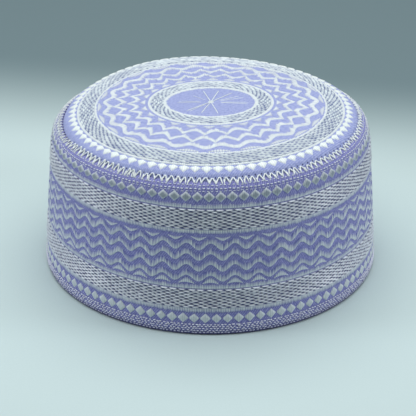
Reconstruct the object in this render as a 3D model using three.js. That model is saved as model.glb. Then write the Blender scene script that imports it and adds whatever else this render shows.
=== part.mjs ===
// Prayer cap: an upright oval band with a rounded shoulder, closed by a domed oval crown sewn to its top.
// Millimetres, +Z up, the front towards -Y. The origin is the middle of the oval that the bottom edge
// draws on the surface the cap stands on.
import * as THREE from "three";

// Driving sizes
const rimHalfWidth = 96.6;      // outside of the bottom edge, from the middle to +X
const rimHalfDepth = 90.8;      // outside of the bottom edge, from the middle to -Y
const seamHeight = 89.1;        // bottom edge to the top of the band, where the crown is sewn on
const shoulderLean = 11.4;      // how far the crown's edge lies inside the bottom edge
const seamOverlap = 1.5;        // cloth of the band that reaches in under the crown's edge
const clothThickness = 2;       // doubled cotton with its embroidery
const sewingGap = 0.3;          // between the crown's underside and the top of the band
const crownRise = 8.2;          // middle of the crown above its edge
const frontTilt = 2.9;          // the crown's edge is this much higher in front than at its sides' mean
const rightTilt = 1.3;          // and this much higher at +X
const forwardLean = 1.9;        // the crown's middle lies this far in front of the rim's middle
const quiltRelief = 0.5;        // how far the quilted bands and rings stand proud
const foldRadius = 0.8;         // rounding of the bottom fold and of the crown's turned edge
const tiltStart = 0.88;         // share of the band's height below which its rows stay level
const aroundSteps = 84;

// Sizes that follow
const ovalDifference = rimHalfWidth - rimHalfDepth;
const crownHalfWidth = rimHalfWidth - shoulderLean;
const crownTop = seamHeight + sewingGap + clothThickness + crownRise;
const ovalFade = crownHalfWidth * 0.27;   // inside this the rings are as round as the middle disc

// The band's outside from the bottom edge to the seam: height as a share of seamHeight, lean as a
// share of shoulderLean.
const bandSections = [
  { height: 0.075, lean: 0.0 },
  { height: 0.17, lean: 0.055 },
  { height: 0.26, lean: 0.14 },
  { height: 0.44, lean: 0.2 },
  { height: 0.62, lean: 0.31 },
  { height: 0.8, lean: 0.445 },
  { height: 0.88, lean: 0.5 },
  { height: 0.935, lean: 0.565 },
  { height: 0.972, lean: 0.69 },
  { height: 0.992, lean: 0.83 },
  { height: 1.0, lean: 1.0 },
];

// The quilted rows of the band, as shares of seamHeight.
const quiltedBands = [
  { from: 0.172, to: 0.325 },
  { from: 0.709, to: 0.898 },
];

// The quilted rings of the crown, as shares of crownHalfWidth.
const quiltedRings = [
  { from: 0.302, to: 0.414 },
  { from: 0.774, to: 0.89 },
];

// The plain stretches of the crown, as shares of crownHalfWidth.
const crownSections = [{ reach: 0.12 }, { reach: 0.22 }, { reach: 0.5 }, { reach: 0.59 }, { reach: 0.68 },
  { reach: 0.84 }, { reach: 0.93 }, { reach: 0.965 }];

// Lean of the band's outside at a height, straight between the rows of bandSections.
function leanAt(height) {
  const share = height / seamHeight;
  const upper = bandSections.findIndex((row) => row.height >= share - 1e-9);
  if (upper <= 0) return bandSections[0].lean * shoulderLean;
  const [low, high] = [bandSections[upper - 1], bandSections[upper]];
  const along = (share - low.height) / (high.height - low.height);
  return (low.lean + (high.lean - low.lean) * along) * shoulderLean;
}

// Stations across one quilted strip: its relief rises from nothing to full over one relief's width.
function quiltStations(strips, unit) {
  return strips.flatMap(({ from, to }) => [
    { at: from * unit, proud: 0 },
    { at: from * unit + quiltRelief, proud: quiltRelief },
    { at: to * unit - quiltRelief, proud: quiltRelief },
    { at: to * unit, proud: 0 },
  ]);
}

// Plain stations that fall inside a quilted strip stand proud with it.
function plainStations(shares, strips, unit) {
  return shares.map((share) => {
    const inside = strips.some(({ from, to }) => share > from && share < to);
    return { at: share * unit, proud: inside ? quiltRelief : 0 };
  });
}

// Each point of a profile moved square to the profile by a distance, to its left as it is walked.
function offsetProfile(points, distance) {
  return points.map((point, i) => {
    const before = points[Math.max(i - 1, 0)];
    const after = points[Math.min(i + 1, points.length - 1)];
    const along = new THREE.Vector2().subVectors(after, before).normalize();
    return new THREE.Vector2(point.x - along.y * distance, point.y + along.x * distance);
  });
}

// Turns a profile of (half width, height) into an oval body. The half depth is the half width less the
// same difference all the way up, so that the rows run parallel round the oval.
function ovalBody(profile, heightShift, forwardShift) {
  const geometry = new THREE.LatheGeometry(profile, aroundSteps);
  const place = geometry.getAttribute("position");
  for (let i = 0; i < place.count; i += 1) {
    const reach = Math.hypot(place.getX(i), place.getZ(i));
    const height = place.getY(i);
    const right = reach > 0 ? place.getX(i) / reach : 0;
    const front = reach > 0 ? place.getZ(i) / reach : 0;
    const halfDepth = reach - ovalDifference * Math.min(1, reach / ovalFade);
    const lift = (frontTilt * front + rightTilt * right) * heightShift(reach, height);
    place.setXYZ(i, right * reach, -front * halfDepth - forwardLean * forwardShift(height), height + lift);
  }
  geometry.computeVertexNormals();
  return geometry;
}

// The band: outside from the bottom fold up and over the shoulder, then the inside back down.
function bandGeometry() {
  const stations = [
    ...plainStations(bandSections.map((row) => row.height), quiltedBands, seamHeight),
    ...quiltStations(quiltedBands, seamHeight),
  ].sort((a, b) => a.at - b.at);
  const outside = stations.map(({ at, proud }) => new THREE.Vector2(rimHalfWidth - leanAt(at) + proud, at));
  const bare = bandSections.map((row) => {
    return new THREE.Vector2(rimHalfWidth - row.lean * shoulderLean, row.height * seamHeight);
  });
  const lipEnd = new THREE.Vector2(crownHalfWidth - seamOverlap, seamHeight);
  const inside = offsetProfile([new THREE.Vector2(rimHalfWidth, 0), ...bare, lipEnd], clothThickness).reverse();
  const foot = inside.pop();
  const profile = [
    new THREE.Vector2(foot.x, foldRadius),
    new THREE.Vector2(foot.x + foldRadius / 2, 0),
    new THREE.Vector2(rimHalfWidth - foldRadius / 2, 0),
    new THREE.Vector2(rimHalfWidth, foldRadius),
    ...outside,
    lipEnd,
    ...inside,
    new THREE.Vector2(foot.x, foldRadius),
  ];
  const tiltShare = (reach, height) => {
    return THREE.MathUtils.smoothstep(height, tiltStart * seamHeight, seamHeight) * reach / crownHalfWidth;
  };
  return ovalBody(profile, tiltShare, (height) => (height / seamHeight) ** 2);
}

// Height of the crown's bare top at a distance from its middle: it falls with the fourth power.
function crownHeight(reach) {
  return crownTop - crownRise * (reach / crownHalfWidth) ** 4;
}

// The crown: underside from the middle out, round the turned edge, then the top back to the middle.
function crownGeometry() {
  const edgeStart = crownHalfWidth - foldRadius;
  const stations = [
    ...plainStations(crownSections.map((row) => row.reach), quiltedRings, crownHalfWidth),
    ...quiltStations(quiltedRings, crownHalfWidth),
  ].sort((a, b) => a.at - b.at);
  const top = stations.map(({ at, proud }) => new THREE.Vector2(at, crownHeight(at) + proud));
  const under = crownSections.map(({ reach }) => {
    const at = reach * crownHalfWidth;
    return new THREE.Vector2(at, crownHeight(at) - clothThickness);
  });
  const edgeHeight = crownHeight(crownHalfWidth);
  const profile = [
    new THREE.Vector2(0, crownTop - clothThickness),
    ...under,
    new THREE.Vector2(edgeStart, edgeHeight - clothThickness),
    new THREE.Vector2(crownHalfWidth, edgeHeight - clothThickness + foldRadius),
    new THREE.Vector2(crownHalfWidth, edgeHeight),
    new THREE.Vector2(edgeStart, crownHeight(edgeStart)),
    ...top.reverse(),
    new THREE.Vector2(0, crownTop),
  ];
  return ovalBody(profile, (reach) => reach / crownHalfWidth, () => 1);
}

// One named piece of cloth.
function clothPiece(name, geometry, colour) {
  const cloth = new THREE.MeshStandardMaterial({ color: colour, roughness: 0.78, metalness: 0 });
  const piece = new THREE.Mesh(geometry, cloth);
  piece.name = name;
  return piece;
}

const cap = new THREE.Group();
cap.add(clothPiece("side_band", bandGeometry(), 0xa8aad8));
cap.add(clothPiece("crown", crownGeometry(), 0xb4b8e6));

export default cap;
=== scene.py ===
import bmesh
import bpy
import numpy as np
from mathutils import Euler, Matrix, Vector


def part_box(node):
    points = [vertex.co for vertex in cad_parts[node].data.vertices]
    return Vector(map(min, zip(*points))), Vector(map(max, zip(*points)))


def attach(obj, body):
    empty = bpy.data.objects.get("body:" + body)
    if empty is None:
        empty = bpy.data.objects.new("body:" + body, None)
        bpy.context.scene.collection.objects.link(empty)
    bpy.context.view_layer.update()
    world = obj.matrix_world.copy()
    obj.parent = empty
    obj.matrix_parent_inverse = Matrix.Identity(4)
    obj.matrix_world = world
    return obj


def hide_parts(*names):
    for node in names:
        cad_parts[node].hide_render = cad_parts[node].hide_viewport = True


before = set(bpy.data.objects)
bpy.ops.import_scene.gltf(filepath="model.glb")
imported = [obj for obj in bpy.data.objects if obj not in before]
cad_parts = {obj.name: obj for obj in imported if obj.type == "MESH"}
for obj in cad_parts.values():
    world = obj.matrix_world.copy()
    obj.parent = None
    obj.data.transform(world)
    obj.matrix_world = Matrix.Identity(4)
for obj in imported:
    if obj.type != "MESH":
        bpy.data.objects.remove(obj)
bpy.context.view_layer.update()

# Embroidered prayer cap. Lengths are millimetres until a mesh is made, angles are degrees round the cap
# from the middle of its front towards +X.

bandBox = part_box("side_band")
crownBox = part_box("crown")
rng = np.random.default_rng(7)

cap = {
    "rimHalfWidth": bandBox[1][0] * 1000,
    "rimHalfDepth": (bandBox[1][1] - bandBox[0][1]) * 500,
    "crownHalfWidth": (crownBox[1][0] - crownBox[0][0]) * 500,
    "crownTop": crownBox[1][2] * 1000 - 1.6,  # the middle lies this much below the highest point in front
    "seamHeight": 89.1,
    "thickness": 2.0,       # doubled cloth
    "crownRise": 8.2,       # middle of the crown above its edge
    "frontTilt": 2.9,       # the crown's edge is higher in front by this much
    "rightTilt": 1.3,       # and at +X by this much
    "forwardLean": 1.9,     # the crown lies this far in front of the rim's middle
    "backDrop": 1.5,        # the seam hangs lower behind by this much
    "backPuff": 0.3,        # slack of the crown behind
    "leftPuff": 2.65,       # and more of it at the back left, a bell round the next angle
    "leftPuffAt": -155,
    "leftPuffWidth": 40,
    "puffAt": 0.9,          # share of the crown's half width where the slack is largest
    "tiltStart": 0.88,      # share of the band's height above which its rows tilt
    "ovalFade": 0.27,       # inside this share of the crown its rings are round
}

# The band's lean towards the crown: share of the height, share of the whole lean
bandLean = np.array([(0, 0), (0.075, 0), (0.17, 0.055), (0.26, 0.14), (0.44, 0.2), (0.62, 0.31), (0.8, 0.445),
                     (0.88, 0.5), (0.935, 0.565), (0.972, 0.69), (0.992, 0.83), (1, 1)])


def smoothStep(low, high, value):
    # 3t^2 - 2t^3, with t the share of the way from low to high
    t = np.clip((value - low) / (high - low), 0, 1)
    return t * t * (3 - 2 * t)


def softened(values, reach):
    # Moving mean over 2 x reach + 1 samples, the ends carried on by odd reflection so that they stay put
    padded = np.pad(values, reach, mode="reflect", reflect_type="odd")
    return np.convolve(padded, np.full(2 * reach + 1, 1 / (2 * reach + 1)), mode="valid")


leanHeights = np.linspace(0, 1, 601)
leanShares = softened(np.interp(leanHeights, bandLean[:, 0], bandLean[:, 1]), 7)


def backShare(angle):
    # Smooth step of the negative cosine: 0 at the front and the sides, 1 over the back
    return smoothStep(0.3, 0.9, -np.cos(np.radians(angle)))


def bandBase(angle, height):
    # Oval whose half width shrinks by the lean curve and whose half depth is less by one fixed difference.
    # It leans forward with the square of the height, and its top rows rise to the front and the right and
    # drop a little behind.
    a = np.radians(angle)
    share = np.clip(height / cap["seamHeight"], 0, 1)
    lean = (cap["rimHalfWidth"] - cap["crownHalfWidth"]) * np.interp(share, leanHeights, leanShares)
    reach = cap["rimHalfWidth"] - lean
    depth = reach - (cap["rimHalfWidth"] - cap["rimHalfDepth"])
    tilt = smoothStep(cap["tiltStart"], 1, share) * reach / cap["crownHalfWidth"]
    lift = cap["frontTilt"] * np.cos(a) + cap["rightTilt"] * np.sin(a) - cap["backDrop"] * backShare(angle)
    forward = cap["forwardLean"] * share ** 2
    return np.stack([reach * np.sin(a), -depth * np.cos(a) - forward, height + lift * tilt], -1)


def crownBase(angle, reach):
    # Oval dome: height falls with the fourth power of the reach, tilted as the seam is. Behind, its slack
    # puffs up under the outer quilting: a part all over the back and a bell round its own angle, times a bump
    # over the reach that rises to puffAt and falls to nothing at the edge. The edge itself hangs by backDrop.
    a = np.radians(angle)
    share = reach / cap["crownHalfWidth"]
    depth = reach - (cap["rimHalfWidth"] - cap["rimHalfDepth"]) * np.minimum(1, share / cap["ovalFade"])
    lift = (cap["frontTilt"] * np.cos(a) + cap["rightTilt"] * np.sin(a)) * share
    back, fromLeft = backShare(angle), (angle - cap["leftPuffAt"] + 180) % 360 - 180
    puff = cap["backPuff"] * back + cap["leftPuff"] * np.exp(-(fromLeft / cap["leftPuffWidth"]) ** 2)
    fall = np.clip((share - cap["puffAt"]) / (1 - cap["puffAt"]), 0, 1)
    slack = puff * (smoothStep(0.6, cap["puffAt"], share) - fall ** 2) - cap["backDrop"] * back * fall ** 2
    height = cap["crownTop"] - cap["crownRise"] * share ** 4 + lift + slack
    return np.stack([reach * np.sin(a), -depth * np.cos(a) - cap["forwardLean"], height], -1)


def raised(base, angle, across, out, turn):
    # Surface point plus 'out' times the outward normal, which is the cross product of the two slopes times
    # 'turn'
    angle, across, out = np.broadcast_arrays(*[np.asarray(x, float) for x in (angle, across, out)])
    step, middle = 0.05, np.maximum(across, 0.5)
    slopeAround = base(angle + step, middle) - base(angle - step, middle)
    slopeAcross = base(angle, middle + step) - base(angle, middle - step)
    normal = np.cross(slopeAround, slopeAcross) * turn
    normal /= np.linalg.norm(normal, axis=-1, keepdims=True)
    return base(angle, across) + normal * out[..., None]


def onBand(angle, height, out=0.0):
    # Point of the band at an angle and a height, raised from it by 'out'
    return raised(bandBase, angle, height, out, 1)


def onCrown(angle, reach, out=0.0):
    # Point of the crown at an angle and a distance from its middle, raised from it by 'out'
    return raised(crownBase, angle, reach, out, -1)


crownCloth = {"columns": 336, "topRows": 30, "underRows": 16, "underInset": 0.6, "edgeWidth": 3.4,
              "edgeSteps": 8, "tuck": 0.35}
seamLine = {"bandHeights": (86.6, 87.8, 89.0), "crownInsets": (0.4, 1.3, 2.4)}


def edgeOut(reach):
    # The crown's edge slopes down onto the band: the drop grows with a power of the way to the outermost
    # point of the edge
    way = np.clip((reach - cap["crownHalfWidth"]) / crownCloth["edgeWidth"] + 1, 0, 1)
    return -(cap["thickness"] + crownCloth["tuck"]) * way ** 1.6


def onEdge(angle, reach, out=0.0):
    # Point of the crown on its sloping edge, raised from it by 'out'
    return onCrown(angle, reach, edgeOut(reach) + out)


def onSeam(angle, along, out=0.0):
    # Walks over the seam in five straight parts between six points of the profile: three on the band's last
    # millimetres, three up and in over the crown's edge. 'along' is 0 at the second point and 3 at the last.
    reaches = cap["crownHalfWidth"] - np.array(seamLine["crownInsets"])
    points = [onBand(angle, height, out) for height in seamLine["bandHeights"]]
    points += [onEdge(angle, reach, out) for reach in reaches]
    stops = np.stack(np.broadcast_arrays(*points), 0)
    t = np.clip(np.broadcast_to(along, stops.shape[1:-1]) / 3 * 4 + 1, 0, 4.999)
    k = t.astype(int)
    share = (t - k)[..., None]
    pick = lambda i: np.take_along_axis(stops, i[None, ..., None], 0)[0]
    return pick(k) * (1 - share) + pick(k + 1) * share


def evenly(count, first):
    # Angles at one pitch round the cap
    return first + np.arange(count) * 360 / count


# Meshes


def paired(first, second):
    # Two arrays as one of pairs
    return np.stack(np.broadcast_arrays(first, second), -1)


def aroundUv(columns, across, girth):
    # uv of a ring: distance round the cap, distance across the row
    return paired(np.linspace(0, girth, columns + 1), np.asarray(across)[:, None])[None]


def patch(points, uv, shade=0.0, ring=False):
    # Quads over points shaped (pieces, rows, columns, 3). A ring joins its last column to its first.
    # uv has one column more than points on a ring, so that no face runs back across the pattern.
    count, rows, columns = points.shape[:3]
    index = np.arange(count * rows * columns).reshape(count, rows, columns)
    uvIndex = np.arange(count * rows * uv.shape[2]).reshape(count, rows, uv.shape[2])
    if ring:
        index = np.concatenate([index, index[:, :, :1]], axis=2)
    corners = lambda grid: np.stack([grid[:, :-1, :-1], grid[:, :-1, 1:], grid[:, 1:, 1:], grid[:, 1:, :-1]],
                                    axis=-1).reshape(-1, 4)
    return {
        "points": points.reshape(-1, 3),
        "faces": corners(index),
        "uv": uv.reshape(-1, 2)[corners(uvIndex)],
        "shade": np.broadcast_to(shade, points.shape[:3]).reshape(-1),
    }


def flipped(p):
    # The same patch with its faces' corners taken the other way round
    return {**p, "faces": p["faces"][:, ::-1], "uv": p["uv"][:, ::-1]}


def cord(path, radius, sides, side, shade):
    # Round profile carried along paths shaped (pieces, steps, 3). 'side' is a direction roughly square to
    # each path; the profile's own axes are 'side' made square to the path, and tangent x side.
    tangent = np.gradient(path, axis=1)
    tangent /= np.linalg.norm(tangent, axis=-1, keepdims=True)
    side = side - tangent * np.sum(side * tangent, -1, keepdims=True)
    side /= np.linalg.norm(side, axis=-1, keepdims=True)
    other = np.cross(tangent, side)
    turn = np.arange(sides) / sides * 2 * np.pi
    spokes = side[:, :, None] * np.cos(turn)[:, None] + other[:, :, None] * np.sin(turn)[:, None]
    points = path[:, :, None] + spokes * np.broadcast_to(radius, path.shape[:2])[:, :, None, None]
    length = np.concatenate([np.zeros((len(path), 1)),
                             np.linalg.norm(np.diff(path, axis=1), axis=-1).cumsum(1)], axis=1)
    around = np.arange(sides + 1) / sides * 2 * np.pi * np.max(radius)
    shade = np.broadcast_to(shade, path.shape[:2])[:, :, None]
    return patch(points, paired(around, length[:, :, None]), shade, ring=True)


def makePiece(name, patches, material, replaced=(), poles=False, sharpFrom=180):
    # One mesh in metres from all patches, with a uv map in metres and the shade of each point. 'poles' joins
    # points that fall together. Edges bent by more than 'sharpFrom' degrees stay sharp.
    mesh = bpy.data.meshes.new(name)
    starts = np.cumsum([0] + [len(p["points"]) for p in patches])
    points = np.concatenate([p["points"] for p in patches]) / 1000
    faces = np.concatenate([p["faces"] + start for p, start in zip(patches, starts)])
    mesh.from_pydata(points.tolist(), [], faces.tolist())
    uvMap = mesh.uv_layers.new(name="cloth")
    uvMap.uv.foreach_set("vector", (np.concatenate([p["uv"] for p in patches]) / 1000).ravel())
    shades = mesh.attributes.new("shade", "FLOAT", "POINT")
    shades.data.foreach_set("value", np.concatenate([p["shade"] for p in patches]).astype(np.float32))
    if poles:
        shape = bmesh.new()
        shape.from_mesh(mesh)
        bmesh.ops.remove_doubles(shape, verts=shape.verts, dist=1e-7)
        shape.to_mesh(mesh)
        shape.free()
    mesh.shade_smooth()
    mesh.set_sharp_from_angle(angle=np.radians(sharpFrom))
    mesh.materials.append(material)
    piece = bpy.data.objects.new(name, mesh)
    bpy.context.scene.collection.objects.link(piece)
    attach(piece, "root")
    if replaced:
        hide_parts(*replaced)
    print(f"{name}: {2 * len(faces)} triangles")
    return piece


# Materials


def linear(hexColour):
    # sRGB hex to linear: c / 12.92 below 0.04045, else ((c + 0.055) / 1.055) ^ 2.4
    parts = [int(hexColour[i:i + 2], 16) / 255 for i in (1, 3, 5)]
    return tuple(c / 12.92 if c <= 0.04045 else ((c + 0.055) / 1.055) ** 2.4 for c in parts) + (1.0,)


def addNode(material, kind, settings=None, links=None):
    # Adds a node, sets its properties or the values of its inputs, and joins inputs to other outputs
    node = material.node_tree.nodes.new(kind)
    for name, value in (settings or {}).items():
        if isinstance(name, int) or name in node.inputs:
            node.inputs[name].default_value = value
        else:
            setattr(node, name, value)
    for name, output in (links or {}).items():
        material.node_tree.links.new(output, node.inputs[name])
    return node


def newMaterial(name):
    # A material without any node
    material = bpy.data.materials.new(name)
    material.use_nodes = True
    material.node_tree.nodes.clear()
    return material


waveRepeat = 0.31416  # Wave Texture's bands repeat every waveRepeat / scale


def threadMaterial(name, look):
    # Thread laid side by side: fine lines along each stitch, a slow change of tone, and where shade says so
    # the ground cloth's colour: real where the stitch thins out, painted shade in gaps, holes and the dark
    # rim beside it
    m = newMaterial(name)
    uv = addNode(m, "ShaderNodeUVMap", {"uv_map": "cloth"})
    shade = addNode(m, "ShaderNodeAttribute", {"attribute_name": "shade"})
    strands = addNode(m, "ShaderNodeTexWave", {
        "wave_type": "BANDS", "bands_direction": look["lines"], "Scale": waveRepeat / (look["strand"] / 1000),
        "Distortion": 1.2, "Detail": 2.0, "Detail Scale": 1.5}, {"Vector": uv.outputs["UV"]})
    tone = addNode(m, "ShaderNodeTexNoise", {
        "Scale": 1000 / look["toneSize"], "Detail": 3.0, "Roughness": 0.6}, {"Vector": uv.outputs["UV"]})
    strandTone = addNode(m, "ShaderNodeMapRange", {"To Min": look["strandDark"]},
                         {"Value": strands.outputs["Fac"]})
    slowTone = addNode(m, "ShaderNodeMapRange", {
        "From Min": 0.3, "From Max": 0.7, "To Min": 0.9, "To Max": 1.06}, {"Value": tone.outputs["Fac"]})
    bothTones = addNode(m, "ShaderNodeMath", {"operation": "MULTIPLY"},
                        {0: strandTone.outputs["Result"], 1: slowTone.outputs["Result"]})
    thread = addNode(m, "ShaderNodeMix", {
        "data_type": "RGBA", 6: linear(look["dark"]), 7: linear(look["light"])},
        {0: bothTones.outputs["Value"]})
    # Ground cloth and painted shade: mixes to the ground colour where shade says
    sunk = addNode(m, "ShaderNodeMix", {"data_type": "RGBA", 7: linear(look["shadedGround"])},
                   {0: shade.outputs["Fac"], 6: thread.outputs[2]})
    bump = addNode(m, "ShaderNodeBump", {"Strength": look["bump"], "Distance": look["strand"] / 4000},
                   {"Height": strands.outputs["Fac"]})
    # Sunk and shaded places shine less
    gloss = addNode(m, "ShaderNodeMapRange", {"From Max": 0.7, "To Min": look["gloss"], "To Max": 0.05},
                    {"Value": shade.outputs["Fac"]})
    shader = addNode(m, "ShaderNodeBsdfPrincipled", {
        "Roughness": look["roughness"], "IOR": 1.53, "Sheen Weight": look["sheen"], "Sheen Roughness": 0.4,
        "Coat Weight": look.get("coat", 0.0), "Coat Roughness": 0.22},
        {"Base Color": sunk.outputs[2], "Normal": bump.outputs["Normal"],
         "Specular IOR Level": gloss.outputs["Result"]})
    addNode(m, "ShaderNodeOutputMaterial", {}, {"Surface": shader.outputs["BSDF"]})
    return m


def cottonMaterial(name, look):
    # Dyed cotton twill: slanting ribs a thread or two wide, slubs of uneven yarn, matt. shade mixes in a
    # painted shade colour, a deep violet, in the seam, along the bottom fold and down needle holes.
    m = newMaterial(name)
    uv = addNode(m, "ShaderNodeUVMap", {"uv_map": "cloth"})
    shade = addNode(m, "ShaderNodeAttribute", {"attribute_name": "shade"})
    slant = addNode(m, "ShaderNodeMapping", {"Rotation": (0, 0, np.radians(look["slant"]))},
                    {"Vector": uv.outputs["UV"]})
    ribs = addNode(m, "ShaderNodeTexWave", {
        "wave_type": "BANDS", "bands_direction": "X", "Scale": waveRepeat / (look["rib"] / 1000),
        "Distortion": 0.8, "Detail": 2.0}, {"Vector": slant.outputs["Vector"]})
    slubs = addNode(m, "ShaderNodeTexNoise", {"Scale": 1000 / look["slub"], "Detail": 4.0, "Roughness": 0.65},
                    {"Vector": uv.outputs["UV"]})
    ribTone = addNode(m, "ShaderNodeMapRange", {"To Min": 0.35}, {"Value": ribs.outputs["Fac"]})
    slubTone = addNode(m, "ShaderNodeMapRange", {
        "From Min": 0.35, "From Max": 0.65, "To Min": 0.35, "To Max": 1.2}, {"Value": slubs.outputs["Fac"]})
    tone = addNode(m, "ShaderNodeMath", {"operation": "MULTIPLY"},
                   {0: ribTone.outputs["Result"], 1: slubTone.outputs["Result"]})
    cloth = addNode(m, "ShaderNodeMix", {
        "data_type": "RGBA", 6: linear(look["dark"]), 7: linear(look["light"])},
        {0: tone.outputs["Value"]})
    # Painted shade: mixes to the deep violet shade colour where shade says
    paintedShade = addNode(m, "ShaderNodeMix", {"data_type": "RGBA", 7: linear(look["paintedShade"])},
                     {0: shade.outputs["Fac"], 6: cloth.outputs[2]})
    bump = addNode(m, "ShaderNodeBump", {"Strength": 0.8, "Distance": look["rib"] / 4000},
                   {"Height": tone.outputs["Value"]})
    shader = addNode(m, "ShaderNodeBsdfPrincipled", {
        "Roughness": 0.85, "IOR": 1.5, "Sheen Weight": 0.15, "Specular IOR Level": 0.25},
        {"Base Color": paintedShade.outputs[2], "Normal": bump.outputs["Normal"]})
    addNode(m, "ShaderNodeOutputMaterial", {}, {"Surface": shader.outputs["BSDF"]})
    return m


# Lilac cotton twill, piece dyed: matt, fine slanting ribs. They are 0.5 mm apart in the real cloth, drawn
# 1.1 mm apart to show. The band is the same cloth, painted a deeper violet as shade: a shaded copy of the
# crown's
twill = {"rib": 1.1, "slub": 1.6, "slant": 35}
lilacTwill = cottonMaterial("lilacTwill", {
    **twill, "light": "#B8C1E6", "dark": "#7C87C4", "paintedShade": "#33325E"})
paintedShadeTwill = cottonMaterial("paintedShadeTwill", {
    **twill, "light": "#A6A8DA", "dark": "#6064AA", "paintedShade": "#2A2A52"})
# Painted shade of a needle hole: the same cloth, taken wholly to its deep violet shade colour
paintedHoleShade = cottonMaterial("paintedHoleShade", {
    **twill, "light": "#40407A", "dark": "#2C2C5C", "paintedShade": "#1E1E48"})

# White viscose embroidery thread, machine stitched: bright, satiny, cool white. Where it thins the lilac
# ground shows; in its gaps that ground is painted shade. The real thread is about 0.3 mm thick, drawn 0.6 mm
# thick to show
satin = {"lines": "X", "strand": 0.6, "toneSize": 3.0}
whiteSatin = threadMaterial("whiteSatin", {
    **satin, "light": "#F7FDF8", "dark": "#C6D5DC", "shadedGround": "#6C72B2",
    "strandDark": 0.5, "bump": 0.5, "roughness": 0.45, "sheen": 0.15, "gloss": 0.5})
# The seam's thicker white thread, hardly darker between its strands
seamThread = threadMaterial("seamThread", {
    **satin, "light": "#F8FEFA", "dark": "#D4E1E6", "shadedGround": "#8C90C4",
    "strandDark": 0.7, "bump": 0.4, "roughness": 0.4, "sheen": 0.2, "gloss": 0.6})
# White viscose thread of the diamonds, painted grey as shade: a shaded copy of the white satin
paintedShadeSatin = threadMaterial("paintedShadeSatin", {
    **satin, "light": "#E6EEF0", "dark": "#AAB6C0", "shadedGround": "#6B7888",
    "strandDark": 0.7, "bump": 0.5, "roughness": 0.5, "sheen": 0.1, "gloss": 0.4})
# The white thread in long stitches that run round the cap, so its strands lie along the row and shine more
# Its very dark ground colour is painted shade in the needle holes and the grooves between rows
quiltThread = {
    "lines": "Y", "strand": 0.5, "toneSize": 3.0, "light": "#F6FCFF", "dark": "#C0D2FF", "shadedGround": "#1C2470",
    "strandDark": 0.8, "bump": 0.4, "roughness": 0.33, "sheen": 0.1, "gloss": 1.0, "coat": 1.0}
whiteQuilt = threadMaterial("whiteQuilt", quiltThread)
# On the crown the same rows are flattened and a little rubbed, so they shine less; lit from above, their
# holes get a paler painted shade
flatQuilt = threadMaterial("flatQuilt", {
    **quiltThread, "light": "#F7FFFC", "dark": "#BCD3E3", "shadedGround": "#4C5C92",
    "roughness": 0.5, "gloss": 0.4, "coat": 0.0})
# Pale lilac cotton sewing thread, twisted, almost matt
lilacThread = threadMaterial("lilacThread", {
    "lines": "Y", "strand": 0.5, "toneSize": 3.0, "light": "#FAFCFF", "dark": "#CCD0F4", "shadedGround": "#6C70B2",
    "strandDark": 0.6, "bump": 0.5, "roughness": 0.6, "sheen": 0.15, "gloss": 0.4})
print("materials made")

# Cloth of the band: up the outside, in under the crown's edge, down the inside and round the bottom fold

bandCloth = {
    "columns": 336, "wallRows": 32, "shoulderRows": 14, "insideRows": 22, "shoulderFrom": 76,
    "foldRadius": 1.0, "foldSteps": 6, "girth": 580.0,
    "lip": [(0.06, -0.8), (0.55, -2.4), (0.06, -2.6)],  # (above the seam, out), reaching in under the crown
    "insideTop": 1.8,  # the inside starts this much below the seam
    "paintedShade": 0.1,     # shade at the seam
}


def bandClothPatch(c):
    # Closed profile of (height, out) carried round the oval: the wall, the shoulder, the lip, the inside and
    # half a circle round the fold. Above the seam 'out' is level. Painted shadow along the bottom fold, where
    # the cap meets the floor, and a little painted shade at the seam.
    top, fold = cap["seamHeight"], np.radians(np.linspace(0, 180, c["foldSteps"] + 1))[1:-1]
    outside = np.concatenate([np.linspace(c["foldRadius"], c["shoulderFrom"], c["wallRows"]),
                              np.linspace(c["shoulderFrom"] + 1, top, c["shoulderRows"])])
    lip = np.array(c["lip"]) + (top, 0)
    inside = np.linspace(top - c["insideTop"], c["foldRadius"], c["insideRows"])
    heights = np.concatenate([outside, lip[:, 0], inside, c["foldRadius"] * (1 - np.sin(fold)), outside[:1]])
    outs = np.concatenate([np.zeros(len(outside)), lip[:, 1], np.full(len(inside), -cap["thickness"]),
                           -cap["thickness"] + c["foldRadius"] * (1 - np.cos(fold)), [0]])
    points = onBand(evenly(c["columns"], 0)[None], heights[:, None], outs[:, None])[None]
    across = np.concatenate([[0], np.hypot(np.diff(heights), np.diff(outs)).cumsum()])
    shade = np.interp(heights, [0, 0.9, 1.6, top - 1.2, top - 0.2], [1, 0.8, 0, 0, c["paintedShade"]])
    return patch(points, aroundUv(c["columns"], across, c["girth"]), shade[:, None], ring=True)


bandPiece = makePiece("band_cloth", [bandClothPatch(bandCloth)], paintedShadeTwill, ("side_band",),
                      poles=True, sharpFrom=50)

# Cloth of the crown: top from the edge to the middle, underside back out


def flatUv(columns, reaches):
    # uv straight down on the crown, shifted so that it stays positive
    a = np.radians(np.linspace(0, 360, columns + 1))[None]
    return paired(100 + reaches[:, None] * np.sin(a), 100 - reaches[:, None] * np.cos(a))[None]


def crownClothPatch(c):
    # Profile of (reach, out) from the underside's edge round the turned edge to the middle of the top, and
    # the underside back out
    start = cap["crownHalfWidth"] - c["edgeWidth"]
    turned = np.linspace(cap["crownHalfWidth"], start, c["edgeSteps"] + 1)[:-1]
    top = start * (1 - np.linspace(0, 1, c["topRows"]))
    under = (start - c["underInset"]) * np.linspace(0, 1, c["underRows"])
    reaches = np.concatenate([under[-1:], turned, top])
    outs = np.concatenate([[-cap["thickness"]], edgeOut(turned), np.zeros(len(top))])
    angles = evenly(c["columns"], 0)[None]
    upper = onCrown(angles, reaches[:, None], outs[:, None])[None]
    lower = onCrown(angles, under[:, None], -cap["thickness"])[None]
    return [patch(upper, flatUv(c["columns"], reaches), ring=True),
            patch(lower, flatUv(c["columns"], under), ring=True)]


crownPiece = makePiece("crown_cloth", crownClothPatch(crownCloth), lilacTwill, ("crown",),
                       poles=True, sharpFrom=50)

# Rows of satin stitch, on the band (low edge to high edge) or on the crown (outer edge to inner edge)

tuckedIn = -0.12  # the rims of all the stitching lie this deep in the cloth


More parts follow.
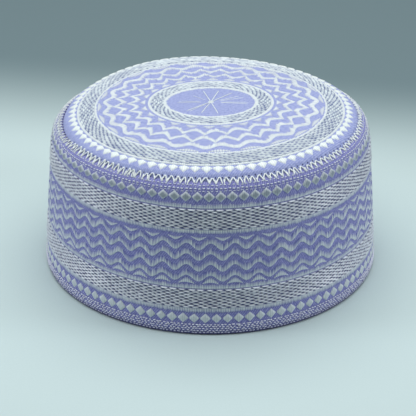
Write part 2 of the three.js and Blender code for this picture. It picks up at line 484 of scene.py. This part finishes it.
def satinRow(surface, lowEdge, highEdge, look):
    # Two edges given as functions of the angle. Stitches run from one to the other, so the row is ribbed
    # across; each rib's far end is a little longer or shorter than the next. The near edge stands up at
    # once, the far edge sinks slowly into the cloth.
    ribs, fine = look["ribs"], 3
    columns = ribs * fine
    angles = evenly(columns, 0)
    inRib = np.arange(columns) % fine / fine
    ridge = np.sin(np.pi * inRib) ** 0.3
    ends = np.repeat(rng.normal(0, look["uneven"], ribs), fine)
    shares = np.array(look["shares"])[:, None]
    low, high = lowEdge(angles), highEdge(angles)
    upOrDown = np.where(high > low, 1, -1)
    across = low + (high - low) * shares + ends * upOrDown * shares
    height = np.interp(shares, look["shares"], look["heights"])
    out = height * (1 - look["ribDepth"] * (1 - ridge))
    out = np.where((shares == 0) | (shares == 1), tuckedIn, out)
    shade = smoothStep(look["fadeFrom"], 1.15, shares) * look["fade"]
    # Painted shade in the gaps between the stitches, stronger towards the far edge
    shade = shade + (1 - ridge) * look["ribShade"] * (0.5 + 0.5 * shares)
    streak = np.repeat(rng.uniform(0, look["streaks"], ribs), fine) * np.sqrt(shares)
    shade = np.clip(shade * np.repeat(rng.uniform(0.6, 1.4, ribs), fine) + streak, 0, 1)
    # A painted shadow: a dark rim that lies 0.3 mm outside the near edge
    shade[0], across[0] = look["shadowLine"], across[0] - upOrDown * 0.3 * look["shadowLine"]
    girth = 2 * np.pi * np.mean(np.hypot(*surface(angles, low)[:, :2].T))
    uv = aroundUv(columns, np.abs(high - low).mean() * shares[:, 0], girth)
    return patch(surface(angles, across, out)[None], uv, shade[None], ring=True)


def ringAt(value):
    # A level edge: the same value at every angle
    return lambda angles: np.full(angles.shape, float(value))


border = {"shares": [0, 0.08, 0.35, 0.65, 0.92, 1], "heights": [0, 0.3, 0.42, 0.42, 0.3, 0],
          "ribDepth": 0.6, "uneven": 0.18, "fadeFrom": 0.3, "fade": 0.5, "ribShade": 0.9, "streaks": 0.4,
          "shadowLine": 1.0}
bandBorders = [
    {"near": 17.0, "far": 14.4, "ribs": 640},
    {"near": 29.3, "far": 31.9, "ribs": 640},
    {"near": 65.6, "far": 63.2, "ribs": 620},
    {"near": 78.6, "far": 80.7, "ribs": 620},
]


def borderRow(surface, b):
    # One border between two level edges. A row that runs down the surface has its faces turned round.
    row = satinRow(surface, ringAt(b["near"]), ringAt(b["far"]), {**border, **b})
    upwards = b["far"] > b["near"] if surface is onBand else b["far"] < b["near"]
    return row if upwards else flipped(row)


makePiece("band_borders", [borderRow(onBand, b) for b in bandBorders], whiteSatin)

# The crown's borders lie in the light: less painted shade in their gaps and no painted shadow rim
brightBorder = {"fade": 0.0, "ribShade": 0.35, "streaks": 0.1, "ribDepth": 0.35, "shadowLine": 0.0}
crownBorders = [
    {"near": 76.4, "far": 75.0, "ribs": 420, **brightBorder},
    {"near": 66.5, "far": 65.1, "ribs": 380, **brightBorder},
    {"near": 35.9, "far": 34.0, "ribs": 210, **brightBorder},
    {"near": 27.3, "far": 25.0, "ribs": 160, **brightBorder},
]
makePiece("crown_borders", [borderRow(onCrown, b) for b in crownBorders], whiteSatin)

# Four wave rows round the middle of the band, their crests above each other. Each row is (crest, trough,
# drift) of its low edge, and thickens from atCrest to atTrough
waves = {"count": 45, "crestAt": 0.3, "atCrest": 3.3, "atTrough": 4.0, "shift": -0.1,
         "rows": [(37.8, 34.0, 0.5), (44.5, 40.2, 0.4), (51.1, 46.9, 0.25), (57.6, 53.3, 0.1)]}
waveLook = {"ribs": 660, "shares": [0, 0.06, 0.3, 0.6, 0.85, 1], "heights": [0, 0.5, 0.55, 0.42, 0.3, 0.1],
            "ribDepth": 0.6, "uneven": 0.28, "fadeFrom": 0.3, "fade": 0.55, "ribShade": 0.95, "streaks": 0.65,
            "shadowLine": 1.0}


def drifted(angles, shift, drift):
    # The stitching wanders a little round the cap: a fixed turn and one that grows to either side
    return angles - shift - drift * np.sin(np.radians(angles))


def wandered(angles, shift, drift):
    # Where evenly spread pieces lie once they have wandered in the same way
    return 2 * angles - drifted(angles, shift, drift)


def waveEdge(crest, trough, drift, thickCrest=0.0, thickTrough=0.0):
    # Cosine between crest and trough, raised by the row's thickness at each of them
    def edge(angles):
        steady = drifted(angles, waves["shift"], drift)
        up = 0.5 + 0.5 * np.cos(np.radians((steady - waves["crestAt"]) * waves["count"]))
        return trough + (crest - trough) * up + thickTrough + (thickCrest - thickTrough) * up
    return edge


waveRows = [satinRow(onBand, waveEdge(*row), waveEdge(*row, waves["atCrest"], waves["atTrough"]), waveLook)
            for row in waves["rows"]]
makePiece("wave_rows", waveRows, whiteSatin)

# Half-moons that fill the hollows of the first and the last wave


def moonPatch(surface, centres, look):
    # The near edge is a bow: 'bow' times a power of the way from the middle to the tip. The far edge lies
    # 'thick' from it in the middle and closes on it at the tips. Every second column stands up as a stitch.
    columns, shares = 17, np.array([0, 0.07, 0.4, 0.75, 1])
    t = np.linspace(-1, 1, columns)
    angles = centres[:, None, None] + look["halfWidth"] * t
    near = look["near"] + look["bow"] * np.abs(t) ** look["power"]
    thick = look["thick"] * (1 - np.abs(t) ** look["tipPower"]) + 0.25 * np.sign(look["thick"])
    across = near + thick * shares[:, None]
    ridge = np.where(np.arange(columns) % 2, 1.0, 0.3)
    out = np.array([tuckedIn, 0.42, 0.42, 0.25, -0.1])[:, None] * ridge
    # Fades to the ground towards the far edge, with painted shade between the stitches
    shade = smoothStep(0.4, 1.1, shares)[:, None] * look["fade"] + (1 - ridge) * 0.7
    return patch(surface(angles, across, out), paired(angles * look["perDegree"] + 600, across), shade)


lowMoons = {"near": 33.1, "bow": -0.8, "power": 2, "thick": 3.2, "tipPower": 1.4, "halfWidth": 2.7,
            "fade": 0.6, "perDegree": 1.6}
highMoons = {"near": 58.9, "bow": 2.6, "power": 1.3, "thick": 2.4, "tipPower": 1.3, "halfWidth": 2.6,
             "fade": 0.9, "perDegree": 1.6}
crests = evenly(waves["count"], waves["crestAt"])
troughs = wandered(crests + 180 / waves["count"], waves["shift"], waves["rows"][-1][2])
crests = wandered(crests, waves["shift"], waves["rows"][0][2])
makePiece("wave_moons", [moonPatch(onBand, crests, lowMoons), moonPatch(onBand, troughs, highMoons)],
          whiteSatin)

# Quilted rows: long stitches in brick order, a needle hole where two meet, painted shade in the holes and
# between the rows


def quiltPatch(surface, look):
    # Height is a ridge across each row times a dip around each needle hole: a half sine times a bell. Every
    # second row is shifted by half a stitch, and all wander a little. Both edges tuck into the cloth.
    stitches, columns = look["stitches"], look["stitches"] * look["fineAround"]
    rows = look["rows"] * look["fineAcross"] + 1
    angles = evenly(columns, 0)
    rowAt = np.linspace(0, look["rows"], rows)[:, None]
    row = np.minimum(rowAt.astype(int), look["rows"] - 1)
    inRow = rowAt - row
    wander = rng.uniform(-0.09, 0.09, (look["rows"], 1))[row[:, 0]]
    along = angles / 360 * stitches + 0.5 * (row % 2) + wander + look["slant"] * (inRow - 0.5)
    stitch, hole = np.floor(along).astype(int) % stitches, np.round(along).astype(int) % stitches
    toHole = np.abs(along - np.round(along)) * look["pitch"]
    bright = rng.uniform(0, 1, (look["rows"], stitches))[row, stitch]
    size = 0.6 + 0.8 * rng.uniform(0, 1, (look["rows"], stitches))[row, hole]
    ridge = np.sin(np.pi * inRow) ** 0.8
    dip = np.exp(-(toHole / (look["hole"] * size)) ** 2) * np.sin(np.pi * inRow)
    out = look["lift"] + look["relief"] * ridge * (1 - 1.1 * dip) * (0.85 + 0.3 * bright)
    out[[0, -1]] = tuckedIn
    # Painted shade in the needle holes and between the rows; the random part is the thread's own uneven tone
    shade = dip * look["holeShade"] + (1 - ridge) * look["rowShade"] + (1 - bright) * look["uneven"]
    level = look["low"] + (look["high"] - look["low"]) * rowAt / look["rows"]
    uv = aroundUv(columns, np.abs(level - look["low"])[:, 0], stitches * look["pitch"])
    return patch(surface(angles, level, out)[None], uv, np.clip(shade, 0, 1)[None], ring=True)


quilt = {"fineAround": 9, "fineAcross": 4, "lift": 0.1, "relief": 0.85, "hole": 0.72, "holeShade": 2.4,
         "rowShade": 0.3, "uneven": 0.15, "slant": 0.26}
upperQuilt = {**quilt, "low": 65.9, "high": 78.0, "rows": 12, "stitches": 112, "pitch": 5.1}
lowerQuilt = {**quilt, "low": 17.2, "high": 28.8, "rows": 12, "stitches": 116, "pitch": 5.1}
crownQuilt = {**quilt, "relief": 0.75, "hole": 0.65, "holeShade": 1.3, "rowShade": 0.45, "uneven": 0.35,
              "slant": 0.3}
makePiece("upper_quilting", [quiltPatch(onBand, upperQuilt)], whiteQuilt)
makePiece("lower_quilting", [quiltPatch(onBand, lowerQuilt)], whiteQuilt)
makePiece("crown_quilting", [
    quiltPatch(onCrown, {**crownQuilt, "low": 75.1, "high": 66.4, "rows": 8, "stitches": 88, "pitch": 5.0}),
    quiltPatch(onCrown, {**crownQuilt, "low": 34.1, "high": 26.8, "rows": 6, "stitches": 38, "pitch": 4.9}),
], flatQuilt)

# Diamonds: one small satin pillow each


def diamondPatch(surface, centres, look):
    # Grid of s and t from -1 to 1, turned by an eighth: across is (s + t) / 2, around is (s - t) / 2. Height
    # is the square root of (1 - s^6) times (1 - t^6). The upper half may be lower, which makes a kite.
    s, t = np.meshgrid(*[np.array([-1, -0.76, -0.4, 0, 0.4, 0.76, 1])] * 2)
    size = rng.normal(1, 0.04, len(centres))[:, None, None]
    angles = centres[:, None, None] + look["halfWidth"] * size * (s - t) / 2
    upper = np.where(s + t > 0, look.get("upperShare", 1.0), 1.0)
    across = look["middle"] + look["halfHeight"] * size * (s + t) / 2 * upper * look["up"]
    dome = (1 - s ** 6) * (1 - t ** 6)
    out = -0.04 + (look["relief"] + 0.04) * dome ** 0.5
    uv = paired((angles + 360) * look["perDegree"] / 2, across)
    # Painted shade: darker at the pillow's foot and, by middleShade, in its middle, so that its rim looks lit
    shade = np.clip(0.5 - dome, 0, 0.5) * 0.5 + dome ** 3 * look["middleShade"]
    return patch(surface(angles, across, out), uv, shade)


lowDiamonds = {"middle": 10.75, "halfHeight": 3.05, "halfWidth": 1.86, "relief": 0.6, "up": 1,
               "perDegree": 1.6, "middleShade": 0.25}
highDiamonds = {"middle": 83.7, "halfHeight": 2.1, "halfWidth": 2.12, "relief": 0.7, "up": 1,
                "perDegree": 1.55, "middleShade": 0.75}
crownDiamonds = {"middle": 78.0, "halfHeight": 3.6, "upperShare": 0.42, "halfWidth": 2.45, "relief": 0.6,
                 "up": -1, "perDegree": 1.3, "middleShade": 0.0}
lowCentres = wandered(evenly(98, 1.547), 0.65, 0.35)
highCentres = evenly(90, -0.45)
crownCentres = wandered(evenly(80, 1.56), 1.4, -0.4)
makePiece("band_diamonds", [diamondPatch(onBand, lowCentres, lowDiamonds)], paintedShadeSatin)
makePiece("shoulder_diamonds", [diamondPatch(onBand, highCentres, highDiamonds)], paintedShadeSatin)
makePiece("crown_diamonds", [diamondPatch(onCrown, crownCentres, crownDiamonds)], whiteSatin)

# Three jagged rings on the crown, each a line that runs out to a peak and back with stitches laid across it
rings = [
    {"count": 23, "peakAt": -3.0, "peak": 60.5, "trough": 57.3, "thick": 3.3, "sharp": 1.0, "ribs": 300,
     "shift": 2.6, "drift": 2.8, "from": 40},
    {"count": 28, "peakAt": 2.0, "peak": 54.5, "trough": 49.7, "thick": 3.1, "sharp": 1.5, "ribs": 270,
     "shift": 2.6, "drift": 2.8, "from": 40},
    {"count": 24, "peakAt": -4.0, "peak": 46.6, "trough": 42.0, "thick": 3.0, "sharp": 1.6, "ribs": 230,
     "shift": 4.4, "drift": 4.4, "from": 10},
]
ringLook = {"shares": [0, 0.1, 0.35, 0.65, 0.9, 1], "heights": [0, 0.35, 0.45, 0.45, 0.3, 0],
            "ribDepth": 0.5, "uneven": 0.45, "fadeFrom": 0.6, "fade": 0.2, "ribShade": 0.45, "streaks": 0.22,
            "shadowLine": 0.0}


def ringEdge(r, offset):
    # With 'sharp' above 1 the line rises with that power of the way from trough to peak, which gives round
    # troughs between sharp peaks; else it is a cosine. It is turned by a shift that swings once round.
    def edge(angles):
        steady = angles - r["shift"] + r["drift"] * np.cos(np.radians(angles + r["from"]))
        way = np.abs(((steady - r["peakAt"]) / 360 * r["count"] + 0.5) % 1 - 0.5) * 2
        rise = (1 - way) ** r["sharp"] if r["sharp"] > 1 else 0.5 + 0.5 * np.cos(np.pi * way)
        return r["trough"] + (r["peak"] - r["trough"]) * rise + offset
    return edge


ringRows = [satinRow(onCrown, ringEdge(r, r["thick"] / 2), ringEdge(r, -r["thick"] / 2),
                     {**ringLook, "ribs": r["ribs"]}) for r in rings]
makePiece("crown_rings", ringRows, whiteSatin)

# Half-moons in the hollows inside the innermost ring and outside the outermost
innerMoons = {"near": 37.3, "bow": 0.3, "power": 2, "thick": 3.4, "tipPower": 1.2, "halfWidth": 5.0,
              "fade": 0.5, "perDegree": 0.7}
outerMoons = {"near": 64.6, "bow": -0.2, "power": 2, "thick": -2.6, "tipPower": 1.6, "halfWidth": 5.6,
              "fade": 0.5, "perDegree": 1.1}
makePiece("crown_moons", [flipped(moonPatch(onCrown, evenly(24, -1.5), innerMoons)),
                          moonPatch(onCrown, evenly(23, 4.3), outerMoons)], whiteSatin)

# Single threads


def scattered(row, spread, middle=0.0):
    # A random number to each stitch of a row
    return rng.normal(middle, spread, row["count"])


def threads(surface, start, end, look, arch=0.0):
    # From one needle hole (angle, across) to the next: the path is straight on the surface, 0.6 of its radius
    # above it, and arches by a half sine. Its ends dip into the cloth and close to a point.
    t = np.linspace(0, 1, look["steps"])
    angles = start[0][:, None] * (1 - t) + end[0][:, None] * t
    across = start[1][:, None] * (1 - t) + end[1][:, None] * t
    out = look["radius"] * 0.6 + arch * np.sin(np.pi * t) - look["dip"] * np.abs(2 * t - 1) ** 6
    path = surface(angles, across, out)
    side = surface(angles, across, out + 1.0) - path
    radius = look["radius"] * np.sqrt(np.clip(1 - np.abs(2 * t - 1) ** 8, 0, 1))
    return cord(path, radius, look["sides"], side, look.get("shade", 0.0))


# Overcast seam: each stitch goes from a hole in the crown's edge to two holes in the band, and a thinner,
# shorter thread stands between each two of them. Round the left side the stitches are pulled down off the
# edge, where they are shorter and thinner and leave their holes open
overcast = {"count": 145, "first": -1.87, "foot": 1.15, "top": 2.3, "leftRise": 0.5, "arch": 0.25,
            "radius": 0.37, "betweenRadius": 0.28, "betweenTop": 0.6, "steps": 9, "sides": 6, "dip": 0.3,
            "pulledAt": -99, "pulledFrom": 41, "pulledFull": 24, "pulledTop": 1.2, "pulledBottom": -0.6,
            "pulledThin": 0.35}


def pulledDown(angle):
    # 1 round the left side and 0 elsewhere, with a smooth step between
    fromLeft = np.abs((angle - overcast["pulledAt"] + 180) % 360 - 180)
    return smoothStep(overcast["pulledFrom"], overcast["pulledFull"], fromLeft)


apex = evenly(overcast["count"], overcast["first"]) + scattered(overcast, 0.2)
feet = [apex + sideways * overcast["foot"] + scattered(overcast, 0.3) for sideways in (-1, 1)]
top = overcast["top"] - overcast["leftRise"] * np.sin(np.radians(apex)) + scattered(overcast, 0.15)
bottom = rng.uniform(0.0, 0.5, overcast["count"])
between = apex + 180 / overcast["count"] + scattered(overcast, 0.2)
betweenFoot = between + scattered(overcast, 0.25, 0.2)
pulled = pulledDown(apex)
thin = (1 - overcast["pulledThin"] * pulled)[:, None]
top = top + (overcast["pulledTop"] - top) * pulled
bottom = bottom + overcast["pulledBottom"] * pulled
look = {**overcast, "radius": overcast["radius"] * thin}
betweenLook = {**overcast, "radius": overcast["betweenRadius"] * thin}
overcastPatches = [threads(onSeam, (apex, top), (foot, bottom), look, overcast["arch"]) for foot in feet]
overcastPatches.append(threads(onSeam, (between, overcast["betweenTop"] * top), (betweenFoot, bottom),
                               betweenLook, overcast["arch"]))
makePiece("overcast_stitches", overcastPatches, seamThread, poles=True)

# Needle holes of the seam: small caps beside the stitches, painted dark with the shade seen down a hole, and
# wider ones on the seam itself where the stitches are pulled down. 'squeeze' is what one millimetre across
# the row adds to the surface's second value
pits = {"middle": 84.0, "radius": 0.55, "first": -0.63, "squeeze": 1.0}
openPits = {"middle": 1.1, "radius": 0.7, "squeeze": 0.6}


def pitPatch(surface, centres, look):
    # Shallow cap, 0.8 as high as wide: rings up to the radius round the middle, which is a hair above the
    # cloth, and the rim in it. One radian is 57.3 degrees.
    shares, a = np.array([1.0, 0.6, 0.0])[:, None], np.radians(np.arange(0, 360, 45))
    angles = centres[:, None, None] + look["radius"] * shares * np.cos(a) / pits["middle"] * 57.3
    across = look["middle"] + look["radius"] * shares * np.sin(a) * 0.8 * look["squeeze"]
    uv = np.full((len(centres), len(shares), len(a) + 1, 2), 50.0)
    # shade 1 everywhere: the whole cap is painted hole shade
    return patch(surface(angles, across, 0.06 - 0.12 * shares ** 2), uv, 1.0, ring=True)


pitCentres = evenly(overcast["count"], pits["first"])
isOpen = pulledDown(pitCentres) > 0.5
pitPatches = [flipped(pitPatch(onEdge, pitCentres[~isOpen], pits)),
              pitPatch(onSeam, pitCentres[isOpen], openPits)]
makePiece("painted_hole_shade", pitPatches, paintedHoleShade, poles=True)

# Three rows of short white stitches between the upper diamonds and the seam, each (height, radius)
dashes = {"rows": [(85.95, 0.15), (86.85, 0.26), (88.1, 0.2)], "count": 240, "first": 0.2, "length": 0.95,
          "arch": 0.1, "steps": 6, "sides": 5, "dip": 0.25}
dashPatches = []
for height, radius in dashes["rows"]:
    start = evenly(dashes["count"], dashes["first"]) + scattered(dashes, 0.08)
    rise = height + scattered(dashes, 0.08)
    dashPatches.append(threads(onBand, (start, rise), (start + dashes["length"], rise),
                               {**dashes, "radius": radius}, dashes["arch"]))
makePiece("dash_row", dashPatches, whiteSatin, poles=True)

# Hem: five rows of running stitch, each shifted by half a stitch, a little uneven, the lowest ones darker
# with painted shade near the floor. Each row is (height, shade)
hem = {"rows": [(1.9, 0.35), (3.15, 0.1), (4.4, 0.0), (5.65, 0.0), (6.9, 0.0)], "count": 300, "shift": 0.6,
       "length": 0.86, "arch": 0.1, "radius": 0.33, "steps": 6, "sides": 5, "dip": 0.22}
hemPatches = []
for number, (height, floorShade) in enumerate(hem["rows"]):
    start = evenly(hem["count"], hem["shift"] * (number % 2)) + scattered(hem, 0.13)
    end = start + hem["length"] + scattered(hem, 0.08)
    rise = height + scattered(hem, 0.1)
    hemPatches.append(threads(onBand, (start, rise), (end, rise + scattered(hem, 0.16, 0.05)),
                              {**hem, "shade": floorShade}, hem["arch"]))
makePiece("hem_stitches", hemPatches, lilacThread, poles=True)

# Middle of the crown: a knot and thin threads laid out from it, some of them half sunk in the cloth. Each
# end is (angle, reach)
spokes = {
    "proud": {"ends": [(-168, 22.5), (168, 22.5), (144, 21.5), (11, 22), (-15, 21), (-41, 21.5)], "from": 0.8,
              "radius": 0.26},
    "sunk": {"ends": [(124, 20), (113, 21), (87, 22), (80, 22), (-36, 21), (-88, 20), (-97, 19), (-139, 16)],
             "from": 5.0, "radius": 0.15},
}
spokePatches = []
for spoke in spokes.values():
    angle, reach = np.array(spoke["ends"], float).T
    spokePatches.append(threads(onCrown, (angle, np.full(len(angle), spoke["from"])), (angle, reach),
                                {"radius": spoke["radius"], "steps": 14, "sides": 5, "dip": 0.2}))
makePiece("crown_spokes", spokePatches, whiteSatin, poles=True)


def knotPatch(k):
    # Flattened dome with eight shallow lobes where the threads cross
    shares, a = np.linspace(1, 0, 9)[:, None], np.radians(np.arange(0, 360, 7.5))
    reach = k["radius"] * shares * (1 + 0.08 * np.cos(8 * a))
    out = k["rise"] * np.sqrt(1 - shares ** 2) * (0.85 + 0.15 * np.cos(8 * a)) - 0.1 * shares
    uv = aroundUv(len(a), k["radius"] * shares[:, 0], k["girth"])
    return patch(onCrown(np.degrees(a), reach, out)[None], uv, ring=True)


knot = {"radius": 1.7, "rise": 0.8, "girth": 9}
makePiece("crown_knot", [knotPatch(knot)], whiteSatin, poles=True)
print("embroidery made")

# Camera, floor and light

# The lens in millimetres, the place in metres, angles in radians
view = {"lens": 166.1, "place": (0, -0.9773, 0.5946), "pitch": 0.52474, "yaw": 0.001231, "roll": 0.005}

cameraData = bpy.data.cameras.new("camera")
cameraData.lens = view["lens"]
camera = bpy.data.objects.new("camera", cameraData)
turn = Euler((np.pi / 2 - view["pitch"], 0, 0)).to_matrix()
turn = turn @ Matrix.Rotation(view["roll"], 3, "Z") @ Matrix.Rotation(view["yaw"], 3, "Y")
camera.matrix_world = Matrix.Translation(view["place"]) @ turn.to_4x4()
bpy.context.scene.collection.objects.link(camera)
bpy.context.scene.camera = camera

# Matt seamless paper, pale grey green, with painted shade: darker towards its far end, where the light falls
# off
paper = newMaterial("palePaper")
paperPlace = addNode(paper, "ShaderNodeTexCoord").outputs["Object"]
paperNoise = addNode(paper, "ShaderNodeTexNoise", {"Scale": 900.0, "Detail": 2.0}, {"Vector": paperPlace})
paperTone = addNode(paper, "ShaderNodeMix", {"data_type": "RGBA", 6: linear("#C3D5D4"), 7: linear("#C9DAD9")},
                    {0: paperNoise.outputs["Fac"]})
# The painted shade is turned by 8 degrees, so that it starts nearer on the right
paperTurn = addNode(paper, "ShaderNodeMapping", {"Rotation": (0, 0, np.radians(8))}, {"Vector": paperPlace})
paperY = addNode(paper, "ShaderNodeSeparateXYZ", {}, {"Vector": paperTurn.outputs["Vector"]}).outputs["Y"]
farShare = addNode(paper, "ShaderNodeMapRange", {
    "interpolation_type": "SMOOTHSTEP", "From Min": 0.098, "From Max": 0.25}, {"Value": paperY})
paintedFarShade = addNode(paper, "ShaderNodeMix", {"data_type": "RGBA", 7: linear("#718488")},
                  {0: farShare.outputs["Result"], 6: paperTone.outputs[2]})
paperShader = addNode(paper, "ShaderNodeBsdfPrincipled", {"Roughness": 0.9, "Specular IOR Level": 0.2},
                      {"Base Color": paintedFarShade.outputs[2]})
addNode(paper, "ShaderNodeOutputMaterial", {}, {"Surface": paperShader.outputs["BSDF"]})
floorEnd = 3
floorCorners = [(-floorEnd, -floorEnd, 0), (floorEnd, -floorEnd, 0),
                (floorEnd, floorEnd, 0), (-floorEnd, floorEnd, 0)]
floorMesh = bpy.data.meshes.new("floor")
floorMesh.from_pydata(floorCorners, [], [(0, 1, 2, 3)])
floorMesh.materials.append(paper)
floor = bpy.data.objects.new("floor", floorMesh)
bpy.context.scene.collection.objects.link(floor)

# A large soft lamp above and behind the cap, and dim light from both sides
lamps = [
    {"name": "overhead", "size": 1.25, "power": 14.1, "place": (0, 0.13, 1.15), "tint": (0.97, 1, 0.99)},
    {"name": "sideLeft", "size": 0.3, "power": 3.1, "place": (-1.0, -0.16, 0.45), "tint": (0.9, 0.92, 1)},
    {"name": "sideRight", "size": 0.3, "power": 3.1, "place": (1.0, -0.16, 0.45), "tint": (0.9, 0.92, 1)},
]
for lamp in lamps:
    lampData = bpy.data.lights.new(lamp["name"], "AREA")
    lampData.size, lampData.energy, lampData.color = lamp["size"], lamp["power"], lamp["tint"]
    lampPiece = bpy.data.objects.new(lamp["name"], lampData)
    lampPiece.location = lamp["place"]
    lampPiece.rotation_euler = (Vector((0, 0, 0.05)) - lampPiece.location).to_track_quat("-Z", "Y").to_euler()
    bpy.context.scene.collection.objects.link(lampPiece)

world = bpy.data.worlds.new("softRoom")
world.use_nodes = True
world.node_tree.nodes["Background"].inputs["Color"].default_value = (0.86, 0.9, 1.0, 1)
world.node_tree.nodes["Background"].inputs["Strength"].default_value = 0.17
bpy.context.scene.world = world
bpy.context.scene.view_settings.view_transform = "Standard"
print("camera, floor and light set")
